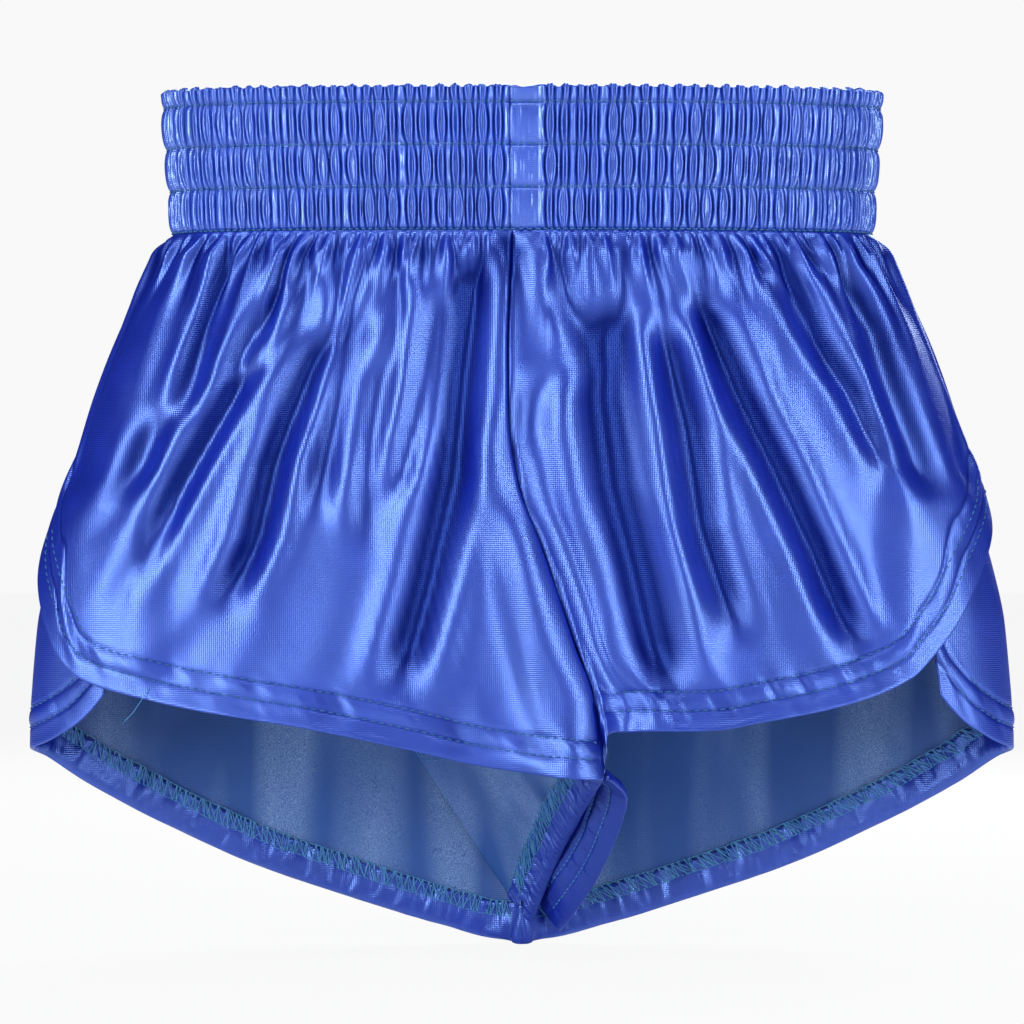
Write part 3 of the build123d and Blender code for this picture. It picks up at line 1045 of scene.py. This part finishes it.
def thread_material(name, colour):
    material, graph, shader, where = node_material(name)
    twist = graph.speckles(where, 2500.0)
    graph.fill(shader, {
        "Base Color": graph.shades(twist, colour, (0, 0.55), (1, 1.3)),
        "Roughness": 0.5,
        "Normal": graph.bump(twist, 0.4, 0.0001),
    })
    return material


# ---- the object

SHEEN = (0.225, 0.395, 0.96)
# Painted light: the band's satin is a lighter copy of the body's, its colour and sheen raised for the
# light that its pleats catch; its lower roughness is its own.
LIT_BAND_SHEEN = (0.37, 0.56, 1.0)
SATIN = satin("satin_blue", (0.0022, 0.010, 0.265), SHEEN, 0.365)
LIT_BAND_SATIN = satin("satin_blue_band_lit", (0.012, 0.044, 0.42), LIT_BAND_SHEEN, 0.32)
WRONG_SIDE = wrong_side()
THREAD = thread_material("thread_teal", (0.05, 0.23, 0.50))
BAND_THREAD = thread_material("thread_teal_dark", (0.014, 0.10, 0.28))
ELASTIC = thread_material("elastic_knit", (0.62, 0.62, 0.60))

front = FrontSheet(200, 513)
dress(front, draped(front, 64, 137, 101))
back = BackSheet(220, 561)
dress(back, draped(back, 84, 161, 202))

HALVES = {"left": 1, "right": -1}
CROTCH_EDGE = {"left": 0.035, "right": -0.012}
INNER_THIGH = (0.040, -0.046)  # y in metres for the walls, handed to rides_with_waist as its start and end


def hangs_from_flap(piece, side):
    """Bakes the piece's transform into its mesh."""
    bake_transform(piece)


def rides_with_waist(piece, start=0.030, end=-0.004):
    """Cloth that joins back to front: its transform is baked into its mesh."""
    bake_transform(piece)


def rides_front(piece):
    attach(piece, "front")


def stand_in(piece, slot, replaced, ride, *details):
    """Hides the CAD nodes a piece stands for and hands the piece to its ride; the slot is not used."""
    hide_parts(*replaced)
    ride(piece, *details)


def hemmed_panel(sheet, part, side, span, replaced, ride, *details):
    """One half of a sheet, with the stitching and the overlock of its hem over a span of u."""
    middle = sheet.columns // 2
    kept = slice(middle, None) if max(span) > 0 else slice(0, middle + 1)
    piece = panel(f"{part}_panel_{side}_cloth", sheet, kept, [SATIN, WRONG_SIDE])
    stand_in(piece, "shell_fabric", replaced, ride, *details)
    piece = hem_stitching(sheet, *span).made(f"{part}_hem_stitching_{side}", BAND_THREAD)
    nodes = [f"{part}_hem_thread_{row}_{side}" for row in ("outer", "inner")]
    stand_in(piece, "stitching", nodes, ride, *details)
    name = f"{part}_hem_overlock_{side}"
    piece = hem_overlock(sheet, *span).made(f"{name}_thread", THREAD)
    stand_in(piece, "overlock", [name], ride, *details)


for side, sign in HALVES.items():
    span = sorted((CROTCH_EDGE[side], 0.985 * sign))
    replaced = [f"front_panel_{side}", f"front_flap_{side}"]
    hemmed_panel(front, "front", side, span, replaced, hangs_from_flap, side)

for side, sign in HALVES.items():
    span = sorted((-0.012 * sign, -0.992 * sign))
    hemmed_panel(back, "back", side, span, [f"back_panel_{side}"], rides_with_waist)

walls = {
    "right": Wall(RISE, RIGHT_LEG_HEM, 301),
    "left": Wall(RISE_OF_LEFT_LEG[::-1], LEFT_LEG_HEM[::-1], 311),
}
for side, wall in walls.items():
    piece = panel(f"inner_thigh_{side}_cloth", wall, slice(None), [SATIN, WRONG_SIDE])
    stand_in(piece, "shell_fabric", [f"back_panel_{side}"], rides_with_waist, *INNER_THIGH)
    piece = hem_stitching(wall, -0.9, 0.9).made(f"inner_thigh_stitching_{side}", THREAD)
    stand_in(piece, "stitching", [], rides_with_waist, *INNER_THIGH)
    piece = hem_overlock(wall, -0.9, 0.9).made(f"inner_thigh_overlock_{side}", THREAD)
    stand_in(piece, "overlock", [], rides_with_waist, *INNER_THIGH)


def sew_in(name, cloth, u, end, across, ride, count=300):
    """The allowance and the thread of a seam at u that runs from the band down to t = end."""
    line = np.full(count, u), np.linspace(0.02, end, count)
    piece, sewn = allowance(f"{name}_plies", cloth, *line, across, [WRONG_SIDE])
    stand_in(piece, "seam_fabric", [name], ride)
    stand_in(sewn.made(f"{name}_thread", THREAD), "overlock", [], ride)


sew_in("front_rise_seam", front, -0.004, 0.9, -0.035, rides_front)
sew_in("back_rise_seam", back, 0.0, 0.72, 0.04, rides_with_waist)
for side, sign in HALVES.items():
    sew_in(f"side_seam_{side}", back, -0.955 * sign, 0.44, 0.035 * sign, rides_with_waist, 200)

along = np.linspace(-0.6, 0.96, 300)
wall = walls["right"]
lengths = wall.length_at(along)


def below_seam(distance, depth):
    """A line along the right wall at a distance below the crotch seam, and its normals."""
    return wall.under(along, np.clip(distance / lengths, 0, 1), np.full(300, depth))


OUTLINE = ((0.2, -0.3), (3.5, 0.5), (6.5, 0.7), (6.5, 1.4), (3.5, 1.6), (0.2, 1.2))
points = np.stack([below_seam(distance, depth)[0] for distance, depth in OUTLINE], axis=1)
faces = grid_faces(300, len(OUTLINE), wrap_columns=True)
piece = mesh_object("crotch_seam_plies", points, faces, [WRONG_SIDE])
stand_in(piece, "seam_fabric", ["crotch_seam"], rides_with_waist, *INNER_THIGH)
sewn = Threads()
near, normals = below_seam(1.6, 1.7)
sewn.zigzag(near, below_seam(6.7, 1.6)[0], -normals)
sewn.stitches(below_seam(9.5, 0.5)[0], -normals)
piece = sewn.made("crotch_seam_thread", THREAD)
stand_in(piece, "overlock", [], rides_with_waist, *INNER_THIGH)

loose = Threads()
sewn_at = front.at(front.hem_u[4:5], np.array([0.975]))[0][0]
droop = np.array(((0, -0.3, 0), (-2.5, -1.6, -4), (-6, -1.4, -9), (-9, 0, -12)))
hanging = curve(sewn_at + droop, 40)
loose.tubes(hanging[None], np.broadcast_to((0.6, -0.8, 0.0), (1, 40, 3)), 0.13)
stand_in(loose.made("loose_thread", THREAD), "stitching", [], hangs_from_flap, "right")

nodes = ["waistband_casing_front", "waistband_casing_back"]
stand_in(waistband([LIT_BAND_SATIN]), "band_fabric", nodes, rides_with_waist)
stand_in(elastic([ELASTIC]), "elastic", ["elastic_front", "elastic_back"], rides_with_waist)
w = np.linspace(-2, 2, 8000)
for k, z in enumerate(ROWS_OF_SHIRRING, 1):
    sewn = Threads()
    sewn.stitches(*band_ring(w, z, band_relief(w, z)), *SHIRRING)
    nodes = [f"shirring_thread_{k}_{face}" for face in ("front", "back")]
    stand_in(sewn.made(f"shirring_stitches_{k}", BAND_THREAD), "stitching", nodes, rides_with_waist)


# ---- floor, light and camera

def aim(obj, target):
    towards = Vector(target) - obj.location
    obj.rotation_euler = towards.to_track_quat("-Z", "Y").to_euler()


def area_light(name, place, size, power):
    """A rectangular light that looks at the middle of the shorts."""
    data = bpy.data.lights.new(name, "AREA")
    data.shape = "RECTANGLE"
    data.size, data.size_y = size
    data.energy = power
    light = bpy.data.objects.new(name, data)
    light.location = place
    aim(light, (0, 0, 0.155))
    bpy.context.scene.collection.objects.link(light)


FLOOR_HALF = 9000
FLOOR_Z = -0.5
corners = [(x * FLOOR_HALF, y * FLOOR_HALF, FLOOR_Z) for x, y in ((-1, -1), (1, -1), (1, 1), (-1, 1))]
floor_material, graph, shader, _ = node_material("floor_pale")
graph.fill(shader, {"Base Color": (0.8, 0.8, 0.8, 1), "Roughness": 0.9})
seen_by_camera = graph.add("LightPath", {}, "Is Camera Ray")
glow = graph.add("Emission", {"Color": (0.965, 0.965, 0.965, 1)})
share = graph.add("Math", {0: seen_by_camera, 1: 0.94}, operation="MULTIPLY")
surface = graph.add("MixShader", {"Fac": share, 1: shader.outputs[0], 2: glow})
graph.fill(graph.nodes["Material Output"], {"Surface": surface})
mesh_object("floor", corners, [[0, 1, 2, 3]], [floor_material])

# The camera sees a near-white backdrop, while the cloth is lit and reflected in a dim room.
world = bpy.data.worlds.new("studio")
bpy.context.scene.world = world
world.use_nodes = True
graph = Graph(world.node_tree)
in_reflection = graph.add("LightPath", {}, "Is Glossy Ray")
room_strength = {"Value": in_reflection, "To Min": 0.30, "To Max": 0.045}
room = {"Color": (0.8, 0.88, 1.0, 1), "Strength": graph.add("MapRange", room_strength)}
graph.fill(graph.nodes["Background"], room)
backdrop = graph.add("Background", {"Color": (0.945, 0.945, 0.945, 1)})
seen_by_camera = graph.add("LightPath", {}, "Is Camera Ray")
sides = {"Fac": seen_by_camera, 1: graph.nodes["Background"].outputs[0], 2: backdrop}
graph.fill(graph.nodes["World Output"], {"Surface": graph.add("MixShader", sides)})

area_light("key", (-1.05, -1.15, 0.55), (0.42, 1.1), 20.5)
area_light("fill", (1.1, -1.1, 0.45), (0.32, 1.1), 16.5)
area_light("front", (0.0, -2.4, 0.9), (1.6, 0.7), 1.5)
area_light("top", (-0.1, -0.5, 1.4), (0.8, 0.4), 5)
area_light("rear", (0.4, 1.3, 0.9), (1.2, 0.9), 26)

FRAME_WIDTH = 0.3584  # metres seen across the picture in the plane FOCUS_Y
FOCUS_Y = -0.026
lens = bpy.data.cameras.new("camera")
lens.lens = 200
lens.sensor_width = 36
camera = bpy.data.objects.new("camera", lens)
camera.location = (-0.0036, FOCUS_Y - FRAME_WIDTH * lens.lens / lens.sensor_width, 0.156)
camera.rotation_euler = (math.pi / 2, 0, 0)
bpy.context.scene.collection.objects.link(camera)
bpy.context.scene.camera = camera
bpy.context.scene.view_settings.view_transform = "Standard"
